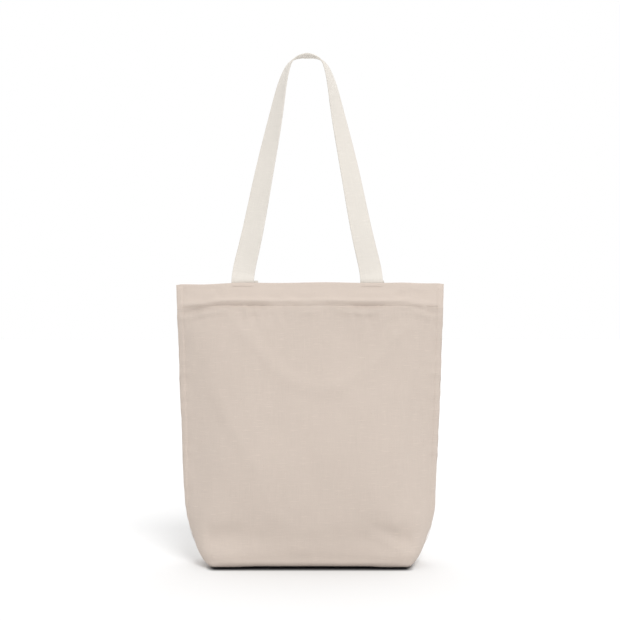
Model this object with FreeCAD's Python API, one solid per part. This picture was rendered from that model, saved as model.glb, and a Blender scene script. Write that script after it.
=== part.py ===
import FreeCAD, Part
import math
import os

os.makedirs("parts", exist_ok=True)

# A canvas tote bag, standing open on its boxed base. Millimetres and degrees.
# +Z is up, +X runs across the front, the front panel faces -Y.
# The origin is the middle of the base, on the floor.

# The bag's body
HEIGHT = 400.0              # floor to the rim
TOP_WIDTH = 382.0           # between the side seams, at the rim
BASE_WIDTH = 298.0          # between the two boxed-corner seams
BASE_DEPTH = 88.0
FULL_DEPTH = 92.0           # where the bag is fullest
FULL_HEIGHT = 150.0
MOUTH_DEPTH = 42.0          # the open mouth, front to back
BASE_EDGE_RADIUS = 9.0
FLARE = 27.5                # how far the sides swell just above the base
FLARE_HEIGHT = 36.0
CANVAS = 1.0
HEM_HEIGHT = 34.0
HEM_LAYERS = 3
HEM_STRAIGHT = 108.0        # the rim is straight this far each side of the middle
BODY_STRAIGHT = 60.0        # and the body at mid height this far
BASE_STRAIGHT = 130.0       # and the base this far

# The handles
STRAP_WIDTH = 32.0
STRAP_THICK = 2.0
FOOT_X = 91.0               # the middle of each sewn end
FRONT_SHIFT = -4.0          # the front handle is sewn this far off centre
HANDLE_RISE = 320.0         # rim to the middle of the webbing at the top of the loop
PIVOT_INSET = 1.0           # the fold over the rim turns about a line this far in
TURN_GAP = 0.4              # between the sewn end and the swinging loop
HANG_ANGLE = 169.0          # upright to hanging down outside

# Seams and thread
ALLOWANCE = 8.0             # width of an overlocked seam allowance
BOUND_THICK = 2.4           # two layers of canvas and the overlock thread
THREAD = 0.8
THREAD_PROUD = 0.5
HEM_ROW_UP = 2.0            # hem stitching above the hem's lower edge
TACK_DOWN = 3.5             # tack stitching below the rim

HEM_EDGE = HEIGHT - HEM_HEIGHT
HEM_THICK = HEM_LAYERS * CANVAS
CREASE = 0.2                # height over which the wall thickens into the hem
CLOSE = 0.2                 # the inner hollow runs this far past the seam plane
FADE_HEIGHT = 55.0          # the base's square plan fades out over this height
CORNER_STEPS = 8
PIVOT_Y = MOUTH_DEPTH / 2 - PIVOT_INSET
STRAP_Y = MOUTH_DEPTH / 2 - HEM_THICK - STRAP_THICK / 2


def smooth(value, low, high):
    share = min(1.0, max(0.0, (value - low) / (high - low)))
    return share * share * (3.0 - 2.0 * share)


def edge_inset(z, radius):
    if z >= radius:
        return 0.0
    return radius - math.sqrt(radius ** 2 - (radius - z) ** 2)


def half_width(z):
    """Middle of the bag to the side seam."""
    lean = (TOP_WIDTH / 2 - BASE_WIDTH / 2 - FLARE) / HEIGHT
    return BASE_WIDTH / 2 + FLARE * (1 - math.exp(-z / FLARE_HEIGHT)) + lean * z


def half_depth(z):
    """Middle of the bag to the front panel, leaving out the rounded base edge."""
    full = (FULL_DEPTH - MOUTH_DEPTH) / 2 * (1 - smooth(z, FULL_HEIGHT, HEIGHT))
    narrow = (FULL_DEPTH - BASE_DEPTH) / 2 * max(0.0, 1 - z / FULL_HEIGHT) ** 2
    return MOUTH_DEPTH / 2 + full - narrow


def plan_shape(z):
    """Half length of the straight front, and the two exponents of its rounded ends."""
    square = math.exp(-z / FADE_HEIGHT)
    rim = smooth(z, HEIGHT / 2, HEIGHT)
    straight = BODY_STRAIGHT
    straight += (HEM_STRAIGHT - BODY_STRAIGHT) * rim
    straight += (BASE_STRAIGHT - BODY_STRAIGHT) * square
    return straight, 1.7 + 2.3 * square, 1.0 + 3.0 * square


def seam_inset(z, thick):
    """Side seam to where the inner faces of the two panels part."""
    straight, start, finish = plan_shape(z)
    slope = half_depth(z) * start * finish ** 2 / (half_width(z) - straight)
    return thick * math.sqrt(1 + slope ** 2) / slope


def end_points(side, width, depth, z, end_y=0.0):
    """The rounded end of the front's plan, from its straight part to the side seam."""
    straight, start, finish = plan_shape(z)
    points = []
    for step in range(CORNER_STEPS + 1):
        turn = math.pi / 2 * step / CORNER_STEPS
        x = straight + (width - straight) * math.sin(turn) ** (2 / start)
        y = end_y - (depth + end_y) * math.cos(turn) ** (2 / finish)
        points.append(FreeCAD.Vector(side * x, y, z))
    return points


def spline(points):
    curve = Part.BSplineCurve()
    curve.interpolate(points)
    return curve.toShape()


def front_edges(width, depth, z, end_y=0.0):
    left = end_points(-1, width, depth, z, end_y)
    right = end_points(1, width, depth, z, end_y)
    middle = Part.LineSegment(left[0], right[0]).toShape()
    return spline(left[::-1]), middle, spline(right)


def outer_wire(z):
    depth = half_depth(z) - edge_inset(z, BASE_EDGE_RADIUS)
    left, middle, right = front_edges(half_width(z), depth, z)
    seam = Part.LineSegment(right.Vertexes[-1].Point, left.Vertexes[0].Point).toShape()
    return Part.Wire([left, middle, right, seam])


def inner_wire(z, thick):
    inset = edge_inset(z - CANVAS, BASE_EDGE_RADIUS - CANVAS)
    width = half_width(z) - seam_inset(z, thick)
    left, middle, right = front_edges(width, half_depth(z) - inset - thick, z, CLOSE)
    seam = Part.LineSegment(right.Vertexes[-1].Point, left.Vertexes[0].Point).toShape()
    return Part.Wire([left, middle, right, seam])


def front_panel():
    """One piece of canvas: the front, half of each side, half the base, the folded hem."""
    low = [BASE_EDGE_RADIUS * share for share in (0.13, 0.35, 0.65, 1.0)]
    body = [14, 20, 28, 38, 50, 66, 86, 115, 155, 205, 255, 300, 340]
    outside = [0.0] + low + body + [HEM_EDGE, HEIGHT]
    outer = Part.makeLoft([outer_wire(z) for z in outside], True, True)
    wall = [CANVAS + z * 0.9 for z in [0.0] + low] + body + [HEM_EDGE]
    hollow = [inner_wire(z, CANVAS) for z in wall]
    hollow += [inner_wire(z, HEM_THICK) for z in (HEM_EDGE + CREASE, HEIGHT + 5)]
    return outer.cut(Part.makeLoft(hollow, True, True))


def turned(shape):
    """The same piece, turned half round about the bag's middle."""
    return shape.rotated(FreeCAD.Vector(), FreeCAD.Vector(0, 0, 1), 180)


def polygon(points):
    corners = [FreeCAD.Vector(*point) for point in points]
    return Part.makePolygon(corners + corners[:1])


def side_overlock(side):
    """The side seam's two raw edges, bound together inside the bag."""
    wires = []
    for z in (6, 20, 40, 70, 110, 170, 240, 310, HEM_EDGE - 1):
        tip = half_width(z) - seam_inset(z, CANVAS) - 0.6
        root = tip - 0.45 * ALLOWANCE
        end = tip - ALLOWANCE
        half = BOUND_THICK / 2
        plan = [(tip, -0.1), (root, -half), (end, -half), (end, half), (root, half), (tip, 0.1)]
        wires.append(polygon([(side * x, y, z) for x, y in plan]))
    return Part.makeLoft(wires, True, True)


def side_stitching(side):
    wires = []
    half = THREAD / 2
    for z in (4, 20, 40, 70, 110, 170, 240, 310, HEM_EDGE - 1):
        x = half_width(z) - seam_inset(z, CANVAS) + 0.3
        plan = [(x - half, -half), (x + half, -half), (x + half, half), (x - half, half)]
        wires.append(polygon([(side * px, y, z) for px, y in plan]))
    return Part.makeLoft(wires, True, True)


def block(low, high):
    size = [b - a for a, b in zip(low, high)]
    return Part.makeBox(*size, FreeCAD.Vector(*low))


def softened(shape, radius):
    return shape.makeFillet(radius, shape.Edges)


def base_overlock():
    """The base seam's allowance, folded over to the back."""
    lift = CANVAS + 0.05
    end = BASE_STRAIGHT - 2
    strip = block((-end, 0.5, lift), (end, 0.5 + ALLOWANCE, CANVAS + BOUND_THICK))
    return softened(strip, 0.6)


def corner_overlock(side):
    """The boxed corner's allowance, lying across the end of the base."""
    near = BASE_WIDTH / 2 - 12
    far = near + ALLOWANCE - 0.5
    reach = BASE_DEPTH / 2 - BASE_EDGE_RADIUS - 7
    low, high = sorted((side * near, side * far))
    strip = block((low, -reach, CANVAS + 0.05), (high, reach, CANVAS + BOUND_THICK))
    return softened(strip, 0.6)


def base_stitching():
    end = BASE_WIDTH / 2 - 10
    return block((-end, -THREAD / 2, 0.2), (end, THREAD / 2, CANVAS - 0.1))


def corner_stitching(side):
    x = side * (BASE_WIDTH / 2 - 3)
    reach = BASE_DEPTH / 2 - BASE_EDGE_RADIUS - 5
    return block((x - THREAD / 2, -reach, 0.2), (x + THREAD / 2, reach, CANVAS - 0.1))


def hem_stitching():
    """The row of thread that holds the hem, along the front from seam to seam."""
    z = HEM_EDGE + HEM_ROW_UP
    proud = FreeCAD.Vector(0, -THREAD_PROUD, 0)
    sunk = FreeCAD.Vector(0, THREAD / 2, 0)
    left = end_points(-1, half_width(z), half_depth(z), z)[:-1]
    right = end_points(1, half_width(z), half_depth(z), z)[:-1]
    outer = [point + proud for point in left[::-1] + right]
    inner = [point + sunk for point in left[::-1] + right]
    ring = Part.makePolygon(outer + inner[::-1] + outer[:1])
    return Part.Face(ring).extrude(FreeCAD.Vector(0, 0, THREAD))


def handle_tacks(shift):
    """The short row of thread across each end of a handle, just under the rim."""
    z = HEIGHT - TACK_DOWN
    outside = -half_depth(z)
    reach = STRAP_WIDTH / 2 - 2
    rows = []
    for side in (-1, 1):
        x = shift + side * FOOT_X
        low = (x - reach, outside - THREAD_PROUD, z - THREAD / 2)
        high = (x + reach, outside + THREAD / 2, z + THREAD / 2)
        rows.append(block(low, high))
    return Part.makeCompound(rows)


def handle_tails(shift):
    """The two ends of a handle's webbing, sewn inside the hem."""
    tails = []
    for side in (-1, 1):
        x = shift + side * FOOT_X
        low = (x - STRAP_WIDTH / 2, -STRAP_Y - STRAP_THICK / 2, HEM_EDGE - 1)
        high = (x + STRAP_WIDTH / 2, -STRAP_Y + STRAP_THICK / 2, HEIGHT)
        tail = block(low, high)
        upright = [e for e in tail.Edges if abs(e.tangentAt(e.FirstParameter).z) > 0.9]
        tails.append(tail.makeFillet(STRAP_THICK * 0.45, upright))
    return Part.makeCompound(tails)


def loop_path():
    """The middle line of a handle's webbing, upright, from the left foot to the right."""
    right = [(FOOT_X, TURN_GAP), (83.5, 44), (62.8, 145), (40.2, 256), (29, 300), (22.5, 312)]
    left = [(-x, z) for x, z in right]
    points = left + [(0, HANDLE_RISE)] + right[::-1]
    vectors = [FreeCAD.Vector(x, -STRAP_Y, HEIGHT + z) for x, z in points]
    curve = Part.BSplineCurve()
    up = FreeCAD.Vector(0, 0, 1)
    curve.interpolate(Points=vectors, InitialTangent=up, FinalTangent=-up)
    return curve


def twist(share):
    """Turn of the webbing, from flat at the foot (0) to edge-on at the top (1)."""
    return math.pi / 2 * (0.65 * share ** 0.8 + 0.35 * share ** 4)


def strap_section(middle, along, turn):
    inward = FreeCAD.Vector(along.z, 0, -along.x)
    across = inward * math.cos(turn) - FreeCAD.Vector(0, math.sin(turn), 0)
    face = across.cross(along)
    across = across * (STRAP_WIDTH / 2)
    face = face * (STRAP_THICK / 2)
    corners = [middle - across - face, middle + across - face]
    corners += [middle + across + face, middle - across + face]
    return Part.makePolygon(corners + corners[:1])


def handle_loop():
    """The free loop of the front handle, standing up."""
    path = loop_path()
    length = path.length()
    stations = 40
    wires = []
    for station in range(stations + 1):
        at = station / stations
        parameter = path.parameterAtDistance(length * at, path.FirstParameter)
        along = path.tangent(parameter)[0]
        wires.append(strap_section(path.value(parameter), along, twist(1 - abs(2 * at - 1))))
    return Part.makeLoft(wires, True, False)


def upright_front_handle():
    return handle_loop().translated(FreeCAD.Vector(FRONT_SHIFT, 0, 0))


def hanging_rear_handle():
    pivot = FreeCAD.Vector(0, PIVOT_Y, HEIGHT)
    return turned(handle_loop()).rotated(pivot, FreeCAD.Vector(1, 0, 0), -HANG_ANGLE)


front = front_panel()
hem_row = hem_stitching()
nodes = {
    "front_panel": front,
    "back_panel": turned(front),
    "left_side_overlock": side_overlock(-1),
    "right_side_overlock": side_overlock(1),
    "base_overlock": base_overlock(),
    "left_corner_overlock": corner_overlock(-1),
    "right_corner_overlock": corner_overlock(1),
    "left_side_stitching": side_stitching(-1),
    "right_side_stitching": side_stitching(1),
    "base_stitching": base_stitching(),
    "left_corner_stitching": corner_stitching(-1),
    "right_corner_stitching": corner_stitching(1),
    "front_hem_stitching": hem_row,
    "rear_hem_stitching": turned(hem_row),
    "front_handle_tails": handle_tails(FRONT_SHIFT),
    "rear_handle_tails": turned(handle_tails(0)),
    "front_handle_tacks": handle_tacks(FRONT_SHIFT),
    "rear_handle_tacks": turned(handle_tacks(0)),
    "front_handle": upright_front_handle(),
    "rear_handle": hanging_rear_handle(),
}
for name, shape in nodes.items():
    shape.exportStep(f"parts/{name}.step")
    print(name, shape.isValid(), len(shape.Solids), round(shape.Volume))
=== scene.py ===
import math

import bpy
import numpy as np
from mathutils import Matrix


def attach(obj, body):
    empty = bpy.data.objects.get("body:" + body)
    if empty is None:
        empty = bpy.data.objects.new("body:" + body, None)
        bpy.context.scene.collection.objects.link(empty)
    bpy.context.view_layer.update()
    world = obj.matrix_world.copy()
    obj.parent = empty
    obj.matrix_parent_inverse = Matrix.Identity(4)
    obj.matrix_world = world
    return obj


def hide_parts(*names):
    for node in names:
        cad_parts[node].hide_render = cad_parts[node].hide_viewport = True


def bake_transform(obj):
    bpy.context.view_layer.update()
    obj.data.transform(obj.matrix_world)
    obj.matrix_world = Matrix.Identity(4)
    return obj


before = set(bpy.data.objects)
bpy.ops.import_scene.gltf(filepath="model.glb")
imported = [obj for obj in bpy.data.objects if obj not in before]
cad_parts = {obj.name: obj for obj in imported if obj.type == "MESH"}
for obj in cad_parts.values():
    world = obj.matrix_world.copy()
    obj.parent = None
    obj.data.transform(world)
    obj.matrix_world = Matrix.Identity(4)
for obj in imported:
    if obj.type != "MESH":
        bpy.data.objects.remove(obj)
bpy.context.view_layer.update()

# The canvas tote bag's looks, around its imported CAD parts. Metres and radians.
# +Z is up, +X runs across the front, the front panel faces -Y.

# The bag's body, as in its CAD source
HEIGHT = 0.400
TOP_WIDTH = 0.382
BASE_WIDTH = 0.298
BASE_DEPTH = 0.088
FULL_DEPTH = 0.092
FULL_HEIGHT = 0.150
MOUTH_DEPTH = 0.042
BASE_EDGE_RADIUS = 0.009
BASE_EDGE_LIFT = 0.0024     # the base's soft edge stays clear of the floor
FLARE = 0.0275
FLARE_HEIGHT = 0.036
CORNER_TUCK = 0.008         # the soft corners of the base turn under a little
FADE_HEIGHT = 0.055
CANVAS = 0.001
HEM_THICK = 0.003
HEM_EDGE = 0.366
HEM_ROW = 0.368
TACK_ROW = 0.3965
RIM_STRAIGHT = 0.108
BODY_STRAIGHT = 0.060
BASE_STRAIGHT = 0.130
CUT_WIDTH = 0.386           # the cloth between the side seams, laid flat

# The handles, as in the CAD source
STRAP_WIDTH = 0.032
STRAP_THICK = 0.002
FOOT_X = 0.091
FRONT_SHIFT = -0.004
HANDLE_RISE = 0.320
PIVOT_Y = 0.020
STRAP_Y = 0.017
TURN_GAP = 0.0004
HANG_ANGLE = math.radians(169)
TAIL_END = 0.365

# Seams and thread
SEAM_FLAT = 0.009           # the allowance inside lifts the cloth this far from the seam
ALLOWANCE = 0.008
ALLOWANCE_LIFT = 0.0013     # from the base up to the middle of an allowance that lies on it
THREAD = 0.0007
STITCH = 0.0031
TACK_STITCH = 0.0027
TACK_HALF = 0.0145          # half the length of a row across a handle's end
SEAM_STITCH = 0.0028
SEAM_THREAD_RADIUS = 0.0003
OVERLOCK_THICK = 0.0020     # two layers of canvas
OVERLOCK_PITCH = 0.0026
OVERLOCK_RADIUS = 0.00028
NEEDLE_ROW = 0.0052         # from the bound edge to the overlock's needle rows
THREAD_WAY_ROUND = 0.002    # on its own flat cloth, as two turns of the plies
NOISE_CELLS = 64

UP = np.array([0.0, 0.0, 1.0])


# ---------------------------------------------------------------- shape of the bag
def smooth(value, low, high):
    """0 at low, 1 at high, eased at both ends."""
    share = np.clip((np.asarray(value, float) - low) / (high - low), 0, 1)
    return share * share * (3 - 2 * share)


def bump(value, middle, spread):
    """1 at the middle, falling away on both sides."""
    return np.exp(-(((value - middle) / spread) ** 2))


def edge_inset(z):
    """How far the rounded base edge draws the front in at one height."""
    if z >= BASE_EDGE_RADIUS:
        return 0.0
    return BASE_EDGE_RADIUS - math.sqrt(BASE_EDGE_RADIUS**2 - (BASE_EDGE_RADIUS - z) ** 2)


def half_width(z):
    """From the middle to the side seam at one height."""
    lean = (TOP_WIDTH / 2 - BASE_WIDTH / 2 - FLARE) / HEIGHT
    tuck = CORNER_TUCK * np.maximum(0, 1 - z / 0.045) ** 1.6
    return BASE_WIDTH / 2 + FLARE * (1 - np.exp(-z / FLARE_HEIGHT)) + lean * z - tuck


def half_depth(z):
    """From the side seams' plane to the front at one height, before the base edge is rounded."""
    full = (FULL_DEPTH - MOUTH_DEPTH) / 2 * (1 - smooth(z, FULL_HEIGHT, HEIGHT))
    narrow = (FULL_DEPTH - BASE_DEPTH) / 2 * np.maximum(0, 1 - z / FULL_HEIGHT) ** 2
    return MOUTH_DEPTH / 2 + full - narrow


def plan_shape(z):
    """Half the plan's flat length at one height, and how squarely its curve turns at each end."""
    square = math.exp(-z / FADE_HEIGHT)
    straight = BODY_STRAIGHT + (RIM_STRAIGHT - BODY_STRAIGHT) * float(smooth(z, HEIGHT / 2, HEIGHT))
    straight += (BASE_STRAIGHT - BODY_STRAIGHT) * square
    return straight, 1.7 + 2.3 * square, 1 + 3 * square


def contour(z, columns):
    """Plan of the front at one height, at shares of its length from the left seam to the right."""
    straight, start, finish = plan_shape(z)
    depth = float(half_depth(z)) - edge_inset(z)
    turn = math.pi / 4 * (1 - np.cos(np.linspace(0, math.pi, 140)))
    x = straight + (half_width(z) - straight) * np.sin(turn) ** (2 / start)
    y = -depth * np.cos(turn) ** (2 / finish)
    x = np.concatenate([-x[::-1], x])
    y = np.concatenate([y[::-1], y])
    y[0] = y[-1] = 0.0
    run = np.concatenate([[0], np.cumsum(np.hypot(np.diff(x), np.diff(y)))])
    run /= run[-1]
    return np.interp(columns, run, x), np.interp(columns, run, y)


def cloud(a, b, seed):
    """Smooth seeded noise from -1 to 1, with a new value at every whole number."""
    cells = NOISE_CELLS
    grid = np.random.default_rng(seed).uniform(-1, 1, (cells, cells))
    i, j = np.floor(a).astype(int), np.floor(b).astype(int)
    u, v = smooth(a - i, 0, 1), smooth(b - j, 0, 1)
    low = grid[i % cells, j % cells] * (1 - u) + grid[(i + 1) % cells, j % cells] * u
    j = j + 1
    high = grid[i % cells, j % cells] * (1 - u) + grid[(i + 1) % cells, j % cells] * u
    return low * (1 - v) + high * v


# ---------------------------------------------------------------- mesh helpers
def make_piece(name, points, faces, cloth, material):
    """A mesh object. cloth is each point's place on the flat cloth, which the weave follows."""
    mesh = bpy.data.meshes.new(name)
    mesh.from_pydata(np.asarray(points, float).tolist(), [], faces)
    own = mesh.attributes.new("cloth", "FLOAT_VECTOR", "POINT")
    own.data.foreach_set("vector", np.asarray(cloth, np.float32).ravel())
    mesh.polygons.foreach_set("use_smooth", [True] * len(mesh.polygons))
    mesh.materials.append(material)
    mesh.validate()
    mesh.update()
    piece = bpy.data.objects.new(name, mesh)
    bpy.context.scene.collection.objects.link(piece)
    return piece


def grid_faces(rows, columns, closed=False):
    """Quads over a grid of points; closed joins the last column to the first."""
    r = np.arange(rows - 1)[:, None]
    c = np.arange(columns if closed else columns - 1)[None, :]
    after = (c + 1) % columns
    corners = [r * columns + c, r * columns + after, (r + 1) * columns + after, (r + 1) * columns + c]
    return np.stack([np.broadcast_to(k, (rows - 1, c.size)) for k in corners], -1).reshape(-1, 4)


def normalised(vectors):
    return vectors / np.maximum(np.linalg.norm(vectors, axis=-1, keepdims=True), 1e-12)


def distances(path):
    """Distance along a path, at each of its points."""
    return np.concatenate([[0], np.cumsum(np.linalg.norm(np.diff(path, axis=0), axis=1))])


def sampled(path, run, at):
    """Points of a path at these distances, where run is the distance at each of its own points."""
    return np.stack([np.interp(at, run, path[:, i]) for i in range(3)], -1)


def capped_tube_faces(rows, columns):
    """Faces of a closed tube of rows, with a cap at each end."""
    last = (rows - 1) * columns
    ends = [list(range(columns))[::-1], list(range(last, last + columns))]
    return grid_faces(rows, columns, closed=True).tolist() + ends


def tube(path, radius, sides=6):
    """Points, faces and cloth places of a round thread along a path."""
    path = np.asarray(path, float)
    along = normalised(np.gradient(path, axis=0))
    helper = np.where(np.abs(along[:, 2:3]) > 0.9, [1.0, 0, 0], UP)
    across = normalised(np.cross(along, helper))
    other = np.cross(along, across)
    radius = np.broadcast_to(radius, len(path))[:, None, None]
    turn = np.linspace(0, 2 * math.pi, sides, endpoint=False)
    ring = np.cos(turn)[None, :, None] * across[:, None] + np.sin(turn)[None, :, None] * other[:, None]
    points = (path[:, None] + radius * ring).reshape(-1, 3)
    way_round = np.tile(turn / (2 * math.pi) * THREAD_WAY_ROUND, len(path))
    cloth = np.stack([way_round, np.repeat(distances(path), sides), np.zeros(len(points))], -1)
    return points, capped_tube_faces(len(path), sides), cloth


def joined(parts):
    """Several (points, faces, cloth) as one."""
    points, faces, cloth, start = [], [], [], 0
    for part_points, part_faces, part_cloth in parts:
        points.append(part_points)
        cloth.append(part_cloth)
        faces += [[start + i for i in face] for face in part_faces]
        start += len(part_points)
    return np.concatenate(points), faces, np.concatenate(cloth)


def stitch_row(path, outward, length=STITCH, radius=THREAD / 2, proud=0.00015):
    """A row of single stitches along a path: each rises out of the cloth and dips back into it."""
    path = np.asarray(path, float)
    outward = np.broadcast_to(outward, path.shape)
    run = distances(path)
    count = max(1, int(run[-1] / length))
    pitch = run[-1] / count
    lift = np.array([-1.1, 0.1, 0.75, 1.0, 0.75, 0.1, -1.1]) * radius + proud
    thick = np.array([0.6, 0.9, 1.0, 1.0, 1.0, 0.9, 0.6]) * radius
    parts = []
    for k in range(count):
        at = (k + 0.5 + np.linspace(-0.43, 0.43, 7)) * pitch
        middle = sampled(path, run, at)
        out = normalised(sampled(outward, run, at))
        slant = UP * radius * 0.35 * np.linspace(-1, 1, 7)[:, None]
        points, faces, cloth = tube(middle + out * lift[:, None] + slant, thick)
        cloth[:, 1] += k * pitch
        parts.append((points, faces, cloth))
    return parts


# ---------------------------------------------------------------- materials
class Nodes:
    """Short calls that add nodes to one material."""

    def __init__(self, name):
        self.material = bpy.data.materials.new(name)
        self.material.use_nodes = True
        self.tree = self.material.node_tree
        self.shader = self.tree.nodes["Principled BSDF"]

    def add(self, kind, **values):
        node = self.tree.nodes.new("ShaderNode" + kind)
        for key, value in values.items():
            setattr(node, key, value)
        return node

    def link(self, value, socket):
        if isinstance(value, bpy.types.NodeSocket):
            self.tree.links.new(value, socket)
        else:
            socket.default_value = value

    def math(self, operation, *values):
        node = self.add("Math", operation=operation)
        for value, socket in zip(values, node.inputs):
            self.link(value, socket)
        return node.outputs[0]

    def mix(self, share, first, second):
        """first towards second, both colours."""
        node = self.add("Mix", data_type="RGBA")
        self.link(share, node.inputs["Factor"])
        self.link(first, node.inputs[6])
        self.link(second, node.inputs[7])
        return node.outputs[2]

    def span(self, value, low, high, to_low=0.0, to_high=1.0):
        node = self.add("MapRange")
        for item, socket in zip((value, low, high, to_low, to_high), node.inputs):
            self.link(item, socket)
        return node.outputs[0]

    def cloth(self):
        """Across and along the flat cloth, in metres, and how much of it is layered hem."""
        place = self.add("Attribute", attribute_name="cloth")
        parts = self.add("SeparateXYZ")
        self.link(place.outputs["Vector"], parts.inputs[0])
        return parts.outputs

    def noise(self, across, along, across_size, along_size, detail=2.0, seed=0.0):
        """Noise whose patches are about that big on the cloth."""
        place = self.add("CombineXYZ")
        self.link(self.math("DIVIDE", across, across_size), place.inputs[0])
        self.link(self.math("DIVIDE", along, along_size), place.inputs[1])
        place.inputs[2].default_value = seed
        node = self.add("TexNoise")
        node.inputs["Scale"].default_value = 1.0
        node.inputs["Detail"].default_value = detail
        self.link(place.outputs[0], node.inputs["Vector"])
        return node.outputs[0]

    def weave(self, across, along, warp, weft):
        """Height of a plain weave with those yarn pitches, and 1 where a warp yarn is on top."""
        u = self.math("SINE", self.math("MULTIPLY", across, math.pi / warp))
        v = self.math("SINE", self.math("MULTIPLY", along, math.pi / weft))
        over = self.math("MULTIPLY_ADD", self.math("MULTIPLY", u, v), 0.5, 0.5)
        under = self.math("SUBTRACT", 1.0, over)
        warp_height = self.math("MULTIPLY", self.math("ABSOLUTE", u), over)
        weft_height = self.math("MULTIPLY", self.math("ABSOLUTE", v), under)
        return self.math("MAXIMUM", warp_height, weft_height), over

    def bump(self, height, distance, strength, normal=None):
        node = self.add("Bump")
        node.inputs["Strength"].default_value = strength
        node.inputs["Distance"].default_value = distance
        self.link(height, node.inputs["Height"])
        if normal is not None:
            self.link(normal, node.inputs["Normal"])
        return node.outputs[0]

    def finish(self, colour, roughness, normal, sheen=0.0):
        self.link(colour, self.shader.inputs["Base Color"])
        self.link(roughness, self.shader.inputs["Roughness"])
        self.link(normal, self.shader.inputs["Normal"])
        self.shader.inputs["Specular IOR Level"].default_value = 0.18
        self.shader.inputs["Sheen Weight"].default_value = sheen
        self.shader.inputs["Sheen Roughness"].default_value = 0.5
        return self.material


def shade(colour, factor=1.0):
    return tuple(min(1.0, c * factor) for c in colour) + (1.0,)


# Tones of undyed cotton, as shares of its colour
DARK_YARN, PALE_YARN = 0.945, 1.045
PALE_PATCH = 1.03
SLUB_TONE = 1.16
# painted shade in the gaps between the yarns
GAP_SHADE_TONE = 0.66
LAYERED_TONE = 1.15         # several layers let less light through
SEED_FLECK = (0.55, 0.42, 0.30)


def woven(name, colour, warp, weft, yarn_depth, slub, fleck, seed):
    """Undyed cotton: yarns of uneven tone, thick places in them, painted shade in the gaps between
    them, and seed flecks.
    """
    n = Nodes(name)
    s, t, layered = n.cloth()
    wobble = n.math("SUBTRACT", n.noise(s, t, 0.012, 0.012, 2.0, seed), 0.5)
    u = n.math("MULTIPLY_ADD", wobble, warp * 0.9, s)
    v = n.math("MULTIPLY_ADD", wobble, weft * 0.9, t)
    height, over = n.weave(u, v, warp, weft)
    warp_tone = n.noise(u, v, warp, 0.035, 1.0, seed + 3)
    weft_tone = n.noise(u, v, 0.035, weft, 1.0, seed + 5)
    tone = n.math("MULTIPLY_ADD", n.math("SUBTRACT", warp_tone, weft_tone), over, weft_tone)
    warp_slub = n.span(n.noise(u, v, warp * 1.6, 0.016, 0.0, seed + 7), 0.66, 0.8)
    weft_slub = n.span(n.noise(u, v, 0.016, weft * 1.6, 0.0, seed + 9), 0.66, 0.8)
    slubs = n.math("MAXIMUM", n.math("MULTIPLY", warp_slub, 0.45), weft_slub)
    patches = n.noise(s, t, 0.07, 0.09, 3.0, seed + 11)
    flecks = n.span(n.noise(s, t, 0.0011, 0.0016, 0.0, seed + 13), 0.80, 0.84)
    rare = n.span(n.noise(s, t, 0.009, 0.009, 0.0, seed + 15), 0.56, 0.64)
    shown = n.mix(n.span(tone, 0.3, 0.7), shade(colour, DARK_YARN), shade(colour, PALE_YARN))
    shown = n.mix(n.span(patches, 0.35, 0.65, 0.0, 0.5), shown, shade(colour, PALE_PATCH))
    shown = n.mix(n.math("MULTIPLY", slubs, slub), shown, shade(colour, SLUB_TONE))
    # The low places between the yarns are darkened with painted shade.
    gaps = n.span(height, 0.12, 0.42, 0.34, 0.0)
    shown = n.mix(gaps, shown, shade(colour, GAP_SHADE_TONE))
    shown = n.mix(n.math("MULTIPLY", layered, 0.5), shown, shade(colour, LAYERED_TONE))
    brown = shade([own * part for own, part in zip(colour, SEED_FLECK)])
    shown = n.mix(n.math("MULTIPLY", n.math("MULTIPLY", flecks, rare), fleck), shown, brown)
    relief = n.math("MULTIPLY_ADD", slubs, 0.5, height)
    normal = n.bump(patches, 0.002, 0.25)
    normal = n.bump(relief, yarn_depth, 0.5, normal)
    roughness = n.span(height, 0.0, 1.0, 0.97, 0.86)
    return n.finish(shown, roughness, normal, sheen=0.12)


def spun(name, colour, twist):
    """Sewing thread: two plies twisted together."""
    n = Nodes(name)
    s, t, _ = n.cloth()
    round_it = n.math("MULTIPLY", s, 2 * math.pi / (THREAD_WAY_ROUND / 2))
    angle = n.math("ADD", round_it, n.math("MULTIPLY", t, 2 * math.pi / twist))
    ply = n.math("ABSOLUTE", n.math("SINE", angle))
    fuzz = n.noise(s, t, 0.0004, 0.002, 2.0, 4.0)
    # The groove between the two plies is darkened with painted shade.
    shown = n.mix(n.span(ply, 0.0, 0.6, 0.6, 0.0), shade(colour), shade(colour, 0.7))
    shown = n.mix(n.math("MULTIPLY", fuzz, 0.3), shown, shade(colour, 1.1))
    normal = n.bump(ply, 0.00012, 0.6)
    return n.finish(shown, n.span(ply, 0.0, 1.0, 0.9, 0.7), normal, sheen=0.1)


CANVAS_COLOUR = (0.560, 0.482, 0.424)
WEBBING_COLOUR = (0.700, 0.660, 0.605)
THREAD_COLOUR = (0.600, 0.525, 0.462)
canvas = woven(
    "canvas", CANVAS_COLOUR,
    warp=0.00058, weft=0.00066, yarn_depth=0.00022, slub=0.55, fleck=0.5, seed=2.0,
)
webbing = woven(
    "webbing", WEBBING_COLOUR,
    warp=0.00095, weft=0.00075, yarn_depth=0.0003, slub=0.3, fleck=0.15, seed=31.0,
)
thread = spun("thread", THREAD_COLOUR, twist=0.0011)


# ---------------------------------------------------------------- the two panels
# Rows are closer together below the first height, for the base, and above the second, for the hem.
BODY_FROM, BODY_TO = 0.060, 0.345
EDGE_ROWS = 9               # round the base edge
BASE_ROWS = 8               # across half the base
ALL_INSIDE_FROM = 0.350     # above this every row has its own row inside
SEAM_SHARE = 0.040          # of the panel's width, at each side, with its columns closer together


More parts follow.
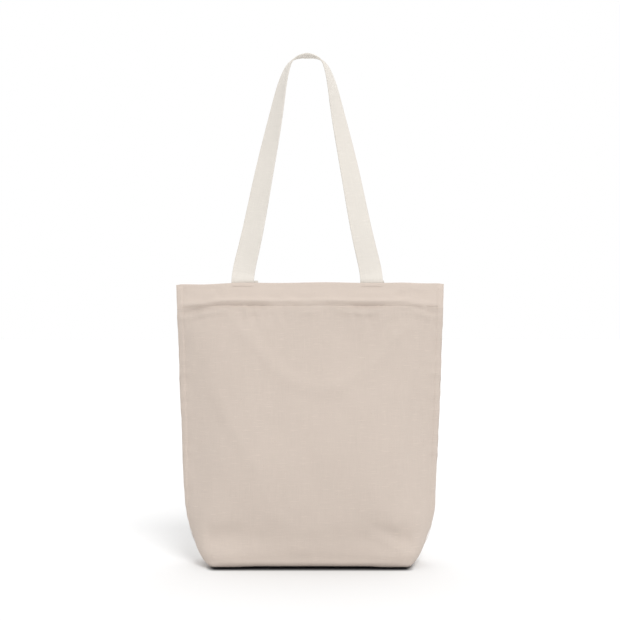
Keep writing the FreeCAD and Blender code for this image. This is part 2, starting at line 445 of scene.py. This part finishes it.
def row_heights():
    """Heights of the panel's rows above the base edge."""
    round_edge = BASE_EDGE_RADIUS * (1 - np.cos(np.linspace(0, math.pi / 2, EDGE_ROWS)))
    low = np.linspace(BASE_EDGE_RADIUS, BODY_FROM, 22)[1:]
    body = np.linspace(BODY_FROM, BODY_TO, 80)[1:]
    below = np.linspace(BODY_TO, HEM_EDGE - 0.0008, 12)[1:]
    hem = [HEM_EDGE - 0.0004, HEM_EDGE, HEM_EDGE + 0.0004, HEM_EDGE + 0.0012, HEM_ROW]
    above = np.linspace(HEM_ROW, HEIGHT, 26)[1:]
    return np.concatenate([round_edge, low, body, below, hem, above])


def column_shares():
    """Shares of the panel's width, from one seam to the other."""
    edge = SEAM_SHARE * np.linspace(0, 1, 22) ** 1.15
    middle = np.linspace(SEAM_SHARE, 1 - SEAM_SHARE, 150)[1:-1]
    return np.concatenate([edge, middle, 1 - edge[::-1]])


LEFT_DROOP, RIGHT_DROOP = 0.0034, 0.0020    # of the rim's two corners
RIM_SAG = 0.0014
LEFT_SAG, LEFT_SAG_X = 0.0017, -0.130       # deeper between the left corner and the handle
REAR_SAG = 0.0007                           # the back's rim sags this much more


def rim_droop(x, z, front):
    """The rim hangs low at its corners and sags between them, but not under the rear handle."""
    across = np.abs(x)
    side = np.where(x < 0, LEFT_DROOP, RIGHT_DROOP) * smooth(across, 0.120, 0.192)
    wave = 0.0005 * np.sin(x / 0.021 + 0.6) * smooth(across, 0.19, 0.12)
    sag = (RIM_SAG + LEFT_SAG * bump(x, LEFT_SAG_X, 0.030)) * smooth(across, 0.188, 0.150)
    if not front:
        sag = (sag + REAR_SAG) * (1 - bump(across, FOOT_X, 0.019))
    return (wave - side) * smooth(z, 0.25, HEIGHT) - sag * smooth(z, HEM_ROW, HEIGHT)


def seam_wander(side, z):
    """The side seam puckers in and out a little on its way up."""
    seed = 41 if side < 0 else 43
    fine = cloud(z / 0.011, z * 0 + 3.5, seed) * 0.00045
    broad = cloud(z / 0.060, z * 0 + 8.5, seed) * 0.0011
    return (fine + broad) * smooth(z, 0.01, 0.04) * smooth(z, HEIGHT, 0.38)


def fold(s, z, start, end, width):
    """A soft straight fold between two places on the cloth, each (s, z), fading out at its ends."""
    across, up = end[0] - start[0], end[1] - start[1]
    length = math.hypot(across, up)
    along = ((s - start[0]) * across + (z - start[1]) * up) / length
    off = ((s - start[0]) * up - (z - start[1]) * across) / length
    return bump(off, 0, width) * smooth(along, 0, 0.3 * length) * smooth(along, length, 0.7 * length)


# Where the swag between the handle's ends hangs lowest, how fast it rises on each side, and its width
SWAG_LOW = 0.252
SWAG_RISE = 7.0
SWAG_WIDTH = 0.0125
# Folds of the front, each from one (s, z) to another, with its height and width
FRONT_FOLDS = (
    ((-0.160, 0.290), (-0.052, 0.100), 0.0014, 0.0120),
    ((0.148, 0.325), (0.116, 0.075), 0.0020, 0.0110),
)


def drape(s, z, seed, front):
    """Broad, soft unevenness of the whole panel, with its swag and folds."""
    from_seam = CUT_WIDTH / 2 - np.abs(s)
    free = smooth(from_seam, 0.0, 0.030)
    loose = free * smooth(z, 0.01, 0.06) * smooth(z, 0.372, 0.33)
    out = 0.0036 * cloud(s / 0.085 + 9, z / 0.150 + 5, seed) * loose
    out += 0.0020 * cloud((s + 0.5 * z) / 0.055 + 7, (z - 0.3 * s) / 0.10 + 3, seed + 1) * loose
    out += 0.0014 * cloud((s - 0.7 * z) / 0.040 + 7, (z + 0.4 * s) / 0.13 + 3, seed + 2) * loose
    out += 0.00022 * cloud(s / 0.010 + 2, z / 0.014 + 2, seed + 3) * free
    height, lean = (0.0042, 0.015) if front else (0.0014, -0.010)
    line = SWAG_LOW + SWAG_RISE * (s - lean) ** 2
    steep = np.sqrt(1 + (2 * SWAG_RISE * (s - lean)) ** 2)
    uneven = 0.85 + 0.35 * cloud(s / 0.036 + 8, z / 0.05, seed + 8)
    swag = uneven * bump((z - line) / steep, 0, SWAG_WIDTH) * smooth(z, 0.352, 0.325)
    out += height * swag
    if front:
        for start, end, rise, width in FRONT_FOLDS:
            out += rise * fold(s, z, start, end, width)
    return out


def hem_relief(s, z, seed, front):
    """The hem: puffed above its stitching, drawn in along it, with what the thread pulls up below."""
    from_seam = CUT_WIDTH / 2 - np.abs(s)
    free = smooth(from_seam, 0.0, 0.030)
    middle = smooth(np.abs(s), 0.150, 0.122)
    row_z = HEM_ROW - 0.0010 * smooth(from_seam, 0.040, 0.0)
    ripple = cloud(s / 0.032 + 4, z / 0.05, seed + 4)
    rumple = cloud((s + 0.6 * z) / 0.020 + 30, z / 0.011 + 3, seed + 10)
    if front:
        draw = 0.34 + 1.2 * bump(s, -0.108, 0.045) + 1.2 * bump(s, 0.082, 0.035)
        draw += 0.35 * cloud(s / 0.011 + 20, s * 0 + 4.5, seed + 5)
    else:
        draw = 0.9 + 0.7 * cloud(s / 0.045 + 6, s * 0 + 1.5, seed + 5)
    puff = np.sin(math.pi * np.clip((z - row_z) / (HEIGHT - row_z), 0, 1) ** 0.62)
    out = (0.0010 + 0.0009 * ripple + 0.0009 * rumple) * puff * free
    out += (0.0021 + 0.0007 * ripple) * bump(z, row_z + 0.0068, 0.0036) * middle
    drawn = bump(z, row_z, 0.0026) * (0.35 + 0.65 * middle) * smooth(from_seam, 0.0, 0.03)
    out -= 0.0017 * draw * drawn
    # A soft roll lies just under the stitching.
    lower = cloud(s / 0.026 + 4, z / 0.03, seed + 9)
    out += (0.0007 + 0.0017 * lower) * bump(z, row_z - 0.0085 - 0.003 * lower, 0.0045) * free
    # Short puckers run down from the hem, strongest under the handle's ends and beside the seams.
    pucker = cloud((s + 0.25 * z) / 0.0085 + 4, z / 0.05 + 2, seed + 6) * bump(z, 0.354, 0.014)
    where = 0.5 + bump(np.abs(s), FOOT_X, 0.02) + bump(from_seam, 0.02, 0.02)
    return out + 0.0014 * pucker * where * free


def seam_relief(s, z, seed):
    """Beside the side seams: the allowance's ridge, short creases, and the hem's corner folds."""
    from_seam = CUT_WIDTH / 2 - np.abs(s)
    ridge = smooth(from_seam, 0.0008, 0.0030)
    ridge = ridge * smooth(from_seam, SEAM_FLAT + 0.0018, SEAM_FLAT - 0.0006)
    out = 0.0013 * ridge * smooth(z, 0.03, 0.07) * smooth(z, HEIGHT, HEIGHT - 0.006)
    crease = cloud(s * 0 + 3.3, z / 0.0085, seed + 7 + (s > 0))
    creased = bump(from_seam, 0.010, 0.010) * smooth(z, 0.02, 0.06) * smooth(z, HEIGHT, 0.36)
    out += 0.0012 * crease * creased
    corner = smooth(from_seam, 0.066, 0.030) * smooth(from_seam, 0.0, 0.014)
    corner = corner * np.where(s > 0, 0.45, 0.8)
    out += 0.0026 * corner * bump(z, 0.3725 - 0.03 * from_seam, 0.0048)
    out -= 0.0030 * corner * bump(z, 0.3572 + 0.17 * from_seam, 0.0034)
    out += 0.0020 * corner * bump(z, 0.3490 + 0.15 * from_seam, 0.0040)
    dent = bump(from_seam, 0.066, 0.007) * bump(z, 0.383 - 0.2 * (from_seam - 0.066), 0.0060)
    return out - 0.0016 * dent


def base_relief(s, z):
    """Low down the cloth draws in, then each base corner kicks out, with a slanting crease over it."""
    across = np.abs(s)
    on_face = smooth(across, 0.158, 0.140)
    near_corner = bump(across, 0.122, 0.036) * on_face
    out = -(0.0022 + 0.0036 * near_corner) * bump(z, 0.044, 0.018)
    out += 0.0024 * near_corner * bump(z, 0.019, 0.010)
    slant = z - 0.020 - 0.42 * (0.150 - across)
    pulled = np.where(s > 0, 1.0, 0.45) * on_face
    out += 0.0016 * bump(slant, 0, 0.0085) * smooth(across, 0.070, 0.112) * pulled
    out -= 0.0014 * bump(slant, 0.0150, 0.0100) * smooth(across, 0.055, 0.105) * pulled
    # Between its corners the lower edge is drawn in under the body.
    out -= 0.0014 * smooth(z, 0.034, 0.006) * smooth(across, 0.118, 0.080)
    return out + 0.0008 * bump(z, 0.0105, 0.0024) * smooth(across, 0.145, 0.110)


def relief(s, z, seed, front):
    """How far the cloth stands out from its plain shape, at s across from the middle and height z."""
    out = drape(s, z, seed, front) + hem_relief(s, z, seed, front)
    return out + seam_relief(s, z, seed) + base_relief(s, z)


def panel_normals(points):
    """Directions straight out of a grid of points."""
    return normalised(np.cross(np.gradient(points, axis=1), np.gradient(points, axis=0)))


def panel_points(seed, turned):
    """The outer face of a panel as a grid of points, with its places on the cloth and row heights."""
    shares, heights = column_shares(), row_heights()
    plain = np.array([np.stack([*contour(z, shares), np.full(len(shares), z)], -1) for z in heights])
    s = np.broadcast_to((shares - 0.5) * CUT_WIDTH, plain.shape[:2])
    z = plain[..., 2]
    world_x = -plain[..., 0] if turned else plain[..., 0]
    points = plain + panel_normals(plain) * relief(s, z, seed, not turned)[..., None]
    at_seam = smooth(CUT_WIDTH / 2 - np.abs(s), 0.030, 0.0)
    wander = np.where(world_x < 0, -seam_wander(-1, z), seam_wander(1, z)) * at_seam
    points[..., 0] += -wander if turned else wander
    points[..., 2] += rim_droop(world_x, z, not turned)
    # The side seams stay on the middle plane, and the base edge stays clear of the floor.
    points[:, [0, -1], 1] = 0.0
    points[..., 1] = np.minimum(points[..., 1], 0.0)
    lifted = BASE_EDGE_LIFT + points[..., 2] * (1 - BASE_EDGE_LIFT / BASE_EDGE_RADIUS)
    points[..., 2] = np.where(points[..., 2] < BASE_EDGE_RADIUS, lifted, points[..., 2])
    t = distances(plain[:, len(shares) // 2]) + BASE_DEPTH / 2
    layered = smooth(heights, HEM_EDGE - 0.001, HEM_EDGE + 0.001)[:, None]
    cloth = np.stack([s, np.broadcast_to(t[:, None], s.shape), s * 0 + layered], -1)
    return points, cloth, heights


def turn_round(points):
    """The same points for the back, half a turn about the middle."""
    return points * np.array([-1.0, -1.0, 1.0])


PANEL_GAP = 0.00012         # between the two panels' inner faces, on each side of the middle


def make_panel(name, seed, turned):
    """One piece of canvas: base, front and sides outside, over the rim, the hem and the face inside."""
    outer, cloth, heights = panel_points(seed, turned)
    normals = panel_normals(outer)
    normals[:, 0] = normals[:, 1]
    normals[:, -1] = normals[:, -2]
    columns = outer.shape[1]

    # Half of the base: rows from its seam out to the lower edge, widening on the way.
    base_rows, base_cloth = [], []
    for share in np.linspace(0, 1, BASE_ROWS, endpoint=False):
        row = outer[0] * np.array([0.62 + 0.38 * share, share, 1])
        row[:, 2] = BASE_EDGE_LIFT * float(smooth(share, 0.55, 1.0))
        base_rows.append(row)
        base_cloth.append(cloth[0] - np.array([0, (1 - share) * BASE_DEPTH / 2, 0]))

    thick = CANVAS + (HEM_THICK - CANVAS) * smooth(heights, HEM_EDGE - 0.0003, HEM_EDGE + 0.0003)
    inner = outer - normals * thick[:, None, None]
    inner[..., 1] = np.minimum(inner[..., 1], -PANEL_GAP)
    flat = smooth(heights, 0.0, BASE_EDGE_RADIUS)[:, None]
    inner[..., 2] = np.maximum(inner[..., 2], CANVAS * (1 - flat) + outer[..., 2] * flat)

    rim_middle = (outer[-1] + inner[-1]) / 2
    half = (outer[-1] - inner[-1]) / 2
    lift = np.linalg.norm(half, axis=1)[:, None] * UP
    turns = np.linspace(0, math.pi, 8)[1:-1]
    rim_rows = [rim_middle + half * math.cos(a) + lift * math.sin(a) * 0.9 for a in turns]
    rim_cloth = [cloth[-1] + np.array([0, 0.0015 * a, 0]) for a in turns]

    # The inside needs only half the rows, except at the hem and the base edge.
    detailed = (heights > ALL_INSIDE_FROM) | (np.arange(len(heights)) < EDGE_ROWS)
    keep = [k for k in range(len(heights)) if k % 2 == 0 or detailed[k]]
    inner_rows = [inner[k] for k in keep[::-1]]
    over = cloth[-1, 0, 1] * 2 + 0.005
    back_down = cloth * np.array([1, -1, 1]) + np.array([0, over, 0])
    inner_cloth = [back_down[k] for k in keep[::-1]]
    shift = np.array([0, -PANEL_GAP, CANVAS])
    floor_rows = [row * np.array([0.985, 1, 1]) + shift for row in base_rows[::-1]]

    grid = np.array(base_rows + list(outer) + rim_rows + inner_rows + floor_rows)
    places = np.array(base_cloth + list(cloth) + rim_cloth + inner_cloth + base_cloth[::-1])
    if turned:
        grid = turn_round(grid)
    rows = len(grid)
    faces = grid_faces(rows, columns).tolist()
    # Close the wall round its edges: each row outside is paired with the one inside it.
    first_inner = len(base_rows) + len(outer) + len(rim_rows)
    pairs = [(k, rows - 1 - k) for k in range(len(base_rows))]
    pairs += [(len(base_rows) + k, first_inner + len(keep) - 1 - m) for m, k in enumerate(keep)]
    for column, flip in ((0, True), (columns - 1, False)):
        for (low, low_in), (high, high_in) in zip(pairs, pairs[1:]):
            face = [k * columns + column for k in [*range(low, high + 1), high_in, low_in]]
            faces.append(face[::-1] if flip else face)
        cap = [k * columns + column for k in range(pairs[-1][0], first_inner + 1)]
        faces.append(cap[::-1] if flip else cap)
    last = (rows - 1) * columns
    faces += [[c + 1, c, last + c, last + c + 1] for c in range(columns - 1)]
    piece = make_piece(name, grid.reshape(-1, 3), faces, places.reshape(-1, 3), canvas)
    return piece, outer, inner, heights


panels = {}
for name, seed, turned in (("front", 3, False), ("back", 23, True)):
    piece, outer, inner, heights = make_panel(name + "_panel_cloth", seed, turned)
    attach(piece, "bag")
    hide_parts(name + "_panel")
    panels[name] = (piece, outer, inner, heights)


# ---------------------------------------------------------------- thread along the panels
def ride_in(name, parts, material, nodes=(), body="bag"):
    """One piece made of these parts, on its body, standing for these nodes."""
    points, faces, cloth = joined(parts)
    piece = make_piece(name, points, faces, cloth, material)
    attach(piece, body)
    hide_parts(*nodes)
    return piece


ROW_POINTS = 40             # along each row of thread on a panel


def crop(row, normals, low, high):
    """The part of a row of points between two x, with its ends placed exactly."""
    x = np.linspace(low, high, ROW_POINTS)
    return sampled(row, row[:, 0], x), normalised(sampled(normals, row[:, 0], x))


for name, shift, rear in (("front", FRONT_SHIFT, False), ("rear", 0.0, True)):
    _, outer, inner, heights = panels["back" if rear else "front"]
    out_normals = panel_normals(outer)
    place = turn_round if rear else (lambda points: points)
    row = int(np.argmin(np.abs(heights - HEM_ROW)))
    edge = half_width(HEM_ROW) - 0.004
    outside, facing = crop(outer[row], out_normals[row], -edge, edge)
    inside, _ = crop(inner[row], out_normals[row], -edge + 0.012, edge - 0.012)
    stitches = stitch_row(place(outside), place(facing))
    stitches += stitch_row(place(inside), place(np.tile([0, 1.0, 0], (ROW_POINTS, 1))))
    ride_in(name + "_hem_thread", stitches, thread, [name + "_hem_stitching"])

    stitches = []
    row = int(np.argmin(np.abs(heights - TACK_ROW)))
    for side in (-1, 1):
        foot = shift + side * FOOT_X
        path, facing = crop(outer[row], out_normals[row], foot - TACK_HALF, foot + TACK_HALF)
        stitches += stitch_row(place(path), place(facing), TACK_STITCH)
        inner_y = -STRAP_Y + STRAP_THICK / 2
        for z in (TACK_ROW, HEM_ROW):
            line = np.array([[foot - TACK_HALF, inner_y, z], [foot + TACK_HALF, inner_y, z]])
            stitches += stitch_row(place(line), place(np.tile([0, 1.0, 0], (2, 1))), TACK_STITCH)
    ride_in(name + "_tack_thread", stitches, thread, [name + "_handle_tacks"])


# ---------------------------------------------------------------- seams
def overlock(name, nodes, edge, inward, face):
    """A seam allowance with its raw edge bound: two layers of canvas wrapped in overlock thread.

    edge is the bound edge's path, inward points from it to the seam, face across the layers."""
    edge = np.asarray(edge, float)
    run = distances(edge)
    even = np.linspace(0, run[-1], max(20, int(run[-1] / 0.004)))
    path = sampled(edge, run, even)
    wave = 0.0004 * np.sin(even / 0.009) + 0.0003 * np.sin(even / 0.0037 + 1)
    path = path + face * wave[:, None]
    # Its section, as distances from the edge and heights across the layers: a blunt bound edge
    side = np.array([(0, 0.42), (0.0009, 0.5), (ALLOWANCE, 0.5)]) * np.array([1, OVERLOCK_THICK])
    section = np.concatenate([side * np.array([1, -1]), side[::-1]])
    points = np.stack([path + inward * d + face * f for d, f in section], 1)
    way_round = np.broadcast_to(section.sum(1), points.shape[:2])
    cloth = np.stack([way_round, np.broadcast_to(even[:, None], way_round.shape), way_round * 0], -1)
    faces = capped_tube_faces(len(path), len(section))
    strip = (points.reshape(-1, 3), faces, cloth.reshape(-1, 3))
    strip = ride_in(name + "_strip", [strip], canvas, nodes)
    strip.data.polygons.foreach_set("use_smooth", [False] * len(strip.data.polygons))

    half = OVERLOCK_THICK / 2 + 0.00025
    # One loop of thread, as distances in from the edge, across the layers and along the edge
    loop = [
        (NEEDLE_ROW, half, 0.0),
        (0.0025, half, 0.0006),
        (0.0002, half * 0.9, 0.0011),
        (-0.0004, 0.0, 0.0013),
        (0.0002, -half * 0.9, 0.0015),
        (0.0025, -half, 0.0020),
        (NEEDLE_ROW, -half, 0.0026),
    ]
    count = int(run[-1] / OVERLOCK_PITCH)
    along = normalised(path[-1] - path[0])
    parts = []
    for place in sampled(path, even, (np.arange(count) + 0.5) * run[-1] / count):
        line = np.array([place + inward * d + face * f + along * a for d, f, a in loop])
        parts.append(tube(line, OVERLOCK_RADIUS, 5))
    for sign in (-1, 1):
        needle = path + inward * NEEDLE_ROW + face * sign * (half - 0.0001)
        parts += stitch_row(needle, face * sign, OVERLOCK_PITCH, SEAM_THREAD_RADIUS)
    chain = path - inward * 0.0003
    parts += stitch_row(chain, -inward, OVERLOCK_PITCH * 0.7, SEAM_THREAD_RADIUS)
    ride_in(name + "_thread", parts, thread)


def seam_thread(line, outward):
    """The stitches that close a seam, flush with the cloth."""
    return stitch_row(line, outward, SEAM_STITCH, SEAM_THREAD_RADIUS, 0.0)


def seam_inset(z, thick):
    """How far inside the outer corner at a side seam the cloth's inner faces meet."""
    straight, start, finish = plan_shape(z)
    slope = float(half_depth(z)) * start * finish**2 / (half_width(z) - straight)
    return thick * math.sqrt(1 + slope**2) / slope


SIDEWAYS = np.array([1.0, 0.0, 0.0])
FORWARD = np.array([0.0, -1.0, 0.0])
SEAM_TOP = HEM_EDGE - 0.001
CORNER_X = float(half_width(0.0))

for side, label in ((-1, "left"), (1, "right")):
    levels = np.linspace(0.006, SEAM_TOP, 60)
    seam = np.array([half_width(z) - seam_inset(z, CANVAS) for z in levels])
    bound_edge = np.stack([side * (seam - 0.0006 - ALLOWANCE), levels * 0, levels], -1)
    name = label + "_side_overlock"
    overlock(name, [name], bound_edge, side * SIDEWAYS, -FORWARD)
    levels = np.linspace(0.012, SEAM_TOP, 90)
    wander = seam_wander(side, levels)
    line = np.stack([side * (half_width(levels) + wander - 0.0004), levels * 0, levels], -1)
    rows = seam_thread(line, side * SIDEWAYS)
    ride_in(label + "_side_thread", rows, thread, [label + "_side_stitching"])

    reach = BASE_DEPTH / 2 - BASE_EDGE_RADIUS - 0.004
    y = np.linspace(-reach, reach, 20)
    bound_x, bound_z = side * (CORNER_X - 0.012), CANVAS + ALLOWANCE_LIFT
    bound_edge = np.stack([y * 0 + bound_x, y, y * 0 + bound_z], -1)
    name = label + "_corner_overlock"
    overlock(name, [name], bound_edge, side * SIDEWAYS, UP)
    y = np.linspace(-reach, reach, 30)
    line = np.stack([y * 0 + side * (CORNER_X - 0.0005), y, y * 0 + 0.0014], -1)
    rows = seam_thread(line, normalised(side * SIDEWAYS + 0.4 * UP))
    ride_in(label + "_corner_thread", rows, thread, [label + "_corner_stitching"])

x = np.linspace(-BASE_STRAIGHT + 0.002, BASE_STRAIGHT - 0.002, 40)
bound_edge = np.stack([x, x * 0 + 0.0005 + ALLOWANCE, x * 0 + CANVAS + ALLOWANCE_LIFT], -1)
overlock("base_overlock", ["base_overlock"], bound_edge, FORWARD, UP)
x = np.linspace(-BASE_WIDTH / 2 + 0.016, BASE_WIDTH / 2 - 0.016, 60)
line = np.stack([x, x * 0, x * 0 + CANVAS - 0.0002], -1)
ride_in("base_thread", seam_thread(line, UP), thread, ["base_stitching"])


# ---------------------------------------------------------------- handles
def clamped_spline(points, start, finish, samples):
    """A smooth curve through the points that leaves and arrives in the given directions."""
    points = np.asarray(points, float)
    knots = distances(points)
    gaps = np.diff(knots)
    count = len(points)
    system, wanted = np.eye(count), np.zeros((count, 3))
    wanted[0], wanted[-1] = start, finish
    steps = np.diff(points, axis=0)
    for k in range(1, count - 1):
        before, after = gaps[k - 1], gaps[k]
        system[k, k - 1 : k + 2] = after, 2 * (before + after), before
        wanted[k] = 3 * (after * steps[k - 1] / before + before * steps[k] / after)
    slopes = np.linalg.solve(system, wanted)
    at = np.linspace(0, knots[-1], samples)
    k = np.clip(np.searchsorted(knots, at, side="right") - 1, 0, count - 2)
    h = gaps[k][:, None]
    u = ((at - knots[k]) / gaps[k])[:, None]
    curve = (2 * u**3 - 3 * u**2 + 1) * points[k] + (u**3 - 2 * u**2 + u) * h * slopes[k]
    return curve + (3 * u**2 - 2 * u**3) * points[k + 1] + (u**3 - u**2) * h * slopes[k + 1]


LOOP_STATIONS = 230
# The right leg of the upright loop, from the rim up, as its x and its height above the rim
LOOP_LEG = [
    (FOOT_X, TURN_GAP),
    (0.0835, 0.044),
    (0.0628, 0.145),
    (0.0402, 0.256),
    (0.029, 0.300),
    (0.0225, 0.312),
]


def loop_frames():
    """Middle line of the upright loop, with the directions across the webbing and out of its face."""
    outline = [(-x, z) for x, z in LOOP_LEG] + [(0, HANDLE_RISE)] + LOOP_LEG[::-1]
    through = np.array([(x, -STRAP_Y, HEIGHT + z) for x, z in outline])
    fine = clamped_spline(through, UP, -UP, 3000)
    run = distances(fine)
    share = np.linspace(0, 1, LOOP_STATIONS)
    path = sampled(fine, run, share * run[-1])
    along = normalised(np.gradient(path, axis=0))
    along[0], along[-1] = UP, -UP
    # The webbing faces the front at the rim and has turned flat to the sky at the top of its arch.
    rising = 1 - np.abs(2 * share - 1)
    turn = math.pi / 2 * (0.65 * rising**0.8 + 0.35 * rising**4)
    inward = np.stack([along[:, 2], along[:, 0] * 0, -along[:, 0]], -1)
    across = inward * np.cos(turn)[:, None] + FORWARD * np.sin(turn)[:, None]
    return path, across, np.cross(across, along), run[-1] * share


def rotate_x(points, angle, about):
    """Points turned about a line along X."""
    c, s = math.cos(angle), math.sin(angle)
    y, z = points[..., 1] - about[1], points[..., 2] - about[2]
    return np.stack([points[..., 0], about[1] + y * c - z * s, about[2] + y * s + z * c], -1)


def strap_profile():
    """Half width and half thickness round the webbing's section: rounded selvedges, flat faces."""
    across = np.array([0.1, 0.35, 0.6, 0.8, 0.9, 0.955, 0.985])
    thick = np.array([0.87, 0.86, 0.84, 0.82, 0.86, 0.95, 0.6])
    across = np.concatenate([[-1.0], -across[::-1], across]) * (STRAP_WIDTH / 2)
    thick = np.concatenate([[0.0], thick[::-1], thick]) * (STRAP_THICK / 2)
    top = np.stack([across, thick], -1)
    return np.concatenate([top, -top])


def make_handle(name, shift, rear, seed):
    """One length of webbing: sewn end, over or up past the rim, round the loop, and down again."""
    path, across, face, run = loop_frames()
    rim = path[:, 2] - HEIGHT
    # Just above the rim the webbing leans towards the mouth before it rises.
    lean = 0.0026 * smooth(rim, 0.0045, 0.015) * smooth(rim, 0.070, 0.022)
    lean -= 0.0008 * bump(rim, 0.0045, 0.0026)
    path = path - FORWARD * lean[:, None]
    wave = 0.0009 * cloud(run / 0.075 + 3, run * 0 + 2.5, seed) * smooth(rim, 0.010, 0.050)
    path = path + face * wave[:, None]
    if rear:
        path, across, face = turn_round(path), turn_round(across), turn_round(face)
        path = rotate_x(path, -HANG_ANGLE, (0, PIVOT_Y, HEIGHT))
        across = rotate_x(across, -HANG_ANGLE, np.zeros(3))
        face = rotate_x(face, -HANG_ANGLE, np.zeros(3))
    else:
        path = path + np.array([shift, 0, 0])
    # The sewn ends come up inside the hem, and the rear one turns over the rim.
    sewn_y = STRAP_Y if rear else -STRAP_Y
    turn_radius = PIVOT_Y - STRAP_Y
    out = -FORWARD if rear else FORWARD
    stations = list(zip(path, across, face))
    for end in (0, -1):
        foot_x, way = path[end][0], across[end]
        lead = []
        for z in np.linspace(TAIL_END, HEIGHT - 0.001, 12):
            lead.append((np.array([foot_x, sewn_y, z]), way, out))
        if rear:
            for angle in np.linspace(math.radians(12), HANG_ANGLE - math.radians(4), 14):
                spoke = np.array([0, -math.cos(angle), math.sin(angle)])
                middle = np.array([foot_x, PIVOT_Y, HEIGHT]) + spoke * turn_radius
                lead.append((middle, way, -spoke))
        if end == 0:
            stations = lead + stations
        else:
            stations = stations + lead[::-1]
    middle, across, face = (np.array(part) for part in zip(*stations))
    across, face = normalised(across)[:, None], normalised(face)[:, None]
    profile = strap_profile()
    length = distances(middle)
    # The webbing cups a little one way or the other on its way round.
    cup = 0.0004 * cloud(length / 0.05 + 2, length * 0 + 5.5, seed + 1)
    bow = ((profile[:, 0] / (STRAP_WIDTH / 2)) ** 2 - 0.4)[None, :, None] * cup[:, None, None]
    points = middle[:, None] + across * profile[None, :, :1] + face * profile[None, :, 1:]
    points = points + bow * face
    # The back of the webbing has a place of its own on the flat cloth.
    width = np.broadcast_to(profile[:, 0] + np.where(profile[:, 1] < 0, 0.1, 0.0), points.shape[:2])
    cloth = np.stack([width, np.broadcast_to(length[:, None], width.shape), width * 0], -1)
    faces = capped_tube_faces(len(middle), len(profile))
    piece = make_piece(name + "_webbing", points.reshape(-1, 3), faces, cloth.reshape(-1, 3), webbing)
    if rear:
        end = (0, PIVOT_Y + 0.0020, HEIGHT)
    else:
        end = (0, -STRAP_Y, HEIGHT + 0.006)
    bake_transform(piece)
    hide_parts(name, name + "_tails")


make_handle("front_handle", FRONT_SHIFT, False, 51)
make_handle("rear_handle", 0.0, True, 57)


# ---------------------------------------------------------------- studio
FLOOR_SIZE = 12.0
FLOOR_DROP = 0.0004         # keeps the floor clear of the base
FLOOR_WHITE = (0.81, 0.81, 0.81)
# Colour of the painted contact shadow on the floor under the base
FLOOR_PAINTED_SHADOW = (0.10, 0.10, 0.104)
PAINTED_SHADOW_X, PAINTED_SHADOW_Y = 0.131, 0.036       # half the size of the painted contact shadow under the base


def floor_material():
    """White card with a painted contact shadow where the base rests on it."""
    n = Nodes("floor")
    place = n.add("SeparateXYZ")
    n.link(n.add("TexCoord").outputs["Object"], place.inputs[0])
    x = n.math("MAXIMUM", n.math("SUBTRACT", n.math("ABSOLUTE", place.outputs[0]), PAINTED_SHADOW_X), 0.0)
    y = n.math("MAXIMUM", n.math("SUBTRACT", n.math("ABSOLUTE", place.outputs[1]), PAINTED_SHADOW_Y), 0.0)
    away = n.math("SQRT", n.math("ADD", n.math("MULTIPLY", x, x), n.math("MULTIPLY", y, y)))
    # The painted contact shadow fades out just beyond the base's footprint.
    outside_painted_shadow = n.span(away, 0.003, 0.015)
    n.link(n.mix(outside_painted_shadow, shade(FLOOR_PAINTED_SHADOW), shade(FLOOR_WHITE)), n.shader.inputs["Base Color"])
    n.shader.inputs["Roughness"].default_value = 0.9
    n.shader.inputs["Specular IOR Level"].default_value = 0.1
    return n.material


mesh = bpy.data.meshes.new("floor")
corners = [(x * FLOOR_SIZE, y * FLOOR_SIZE, 0) for x, y in ((-1, -1), (1, -1), (1, 1), (-1, 1))]
mesh.from_pydata(corners, [], [(0, 1, 2, 3)])
mesh.materials.append(floor_material())
floor = bpy.data.objects.new("floor", mesh)
floor.location.z = -FLOOR_DROP
bpy.context.scene.collection.objects.link(floor)

world = bpy.data.worlds.new("studio")
bpy.context.scene.world = world
world.use_nodes = True
sky = world.node_tree.nodes["Background"]
sky.inputs["Color"].default_value = (1.0, 1.0, 1.0, 1.0)


class Sky(Nodes):
    """The same short calls for the world's nodes."""

    def __init__(self, tree):
        self.tree = tree


# White all round the horizon, brighter overhead, dimmer part way up on the side the bag faces.
SKY_DIM, SKY_BRIGHT = 0.60, 1.45
air = Sky(world.node_tree)
way = air.add("SeparateXYZ")
air.link(air.add("TexCoord").outputs["Generated"], way.inputs[0])
facing = air.span(way.outputs[1], 0.30, -0.35)
part_way_up = air.span(way.outputs[2], 0.16, 0.34)
dimmed = air.span(air.math("MULTIPLY", facing, part_way_up), 0.0, 1.0, 1.0, SKY_DIM)
overhead = air.span(way.outputs[2], 0.40, 0.95, 1.0, SKY_BRIGHT)
air.link(air.math("MULTIPLY", overhead, dimmed), sky.inputs["Strength"])


def aim(thing, at):
    """Turn a light to shine at a point."""
    direction = np.array(at) - np.array(thing.location)
    yaw = math.atan2(direction[0], direction[1])
    pitch = math.atan2(direction[2], math.hypot(direction[0], direction[1]))
    thing.rotation_euler = (math.pi / 2 + pitch, 0, -yaw)


def soft_light(name, place, spread, strength):
    """A sun whose disc is that many degrees wide."""
    light = bpy.data.lights.new(name, "SUN")
    light.angle = math.radians(spread)
    light.energy = strength
    holder = bpy.data.objects.new(name, light)
    holder.location = place
    bpy.context.scene.collection.objects.link(holder)
    aim(holder, (0, 0, 0.25))


soft_light("key", (0.52, -1.7, 2.1), spread=22.0, strength=1.42)

CAMERA_DISTANCE = 1.640     # to the bag's middle plane
CAMERA_HEIGHT = 0.3612
VIEW_ANGLE = math.radians(30.2)
SENSOR = 36.0
camera = bpy.data.objects.new("camera", bpy.data.cameras.new("camera"))
camera.data.sensor_width = SENSOR
camera.data.lens = SENSOR / 2 / math.tan(VIEW_ANGLE / 2)
camera.location = (0, -CAMERA_DISTANCE, CAMERA_HEIGHT)
camera.rotation_euler = (math.pi / 2, 0, 0)
bpy.context.scene.collection.objects.link(camera)
bpy.context.scene.camera = camera
bpy.context.scene.view_settings.view_transform = "Standard"
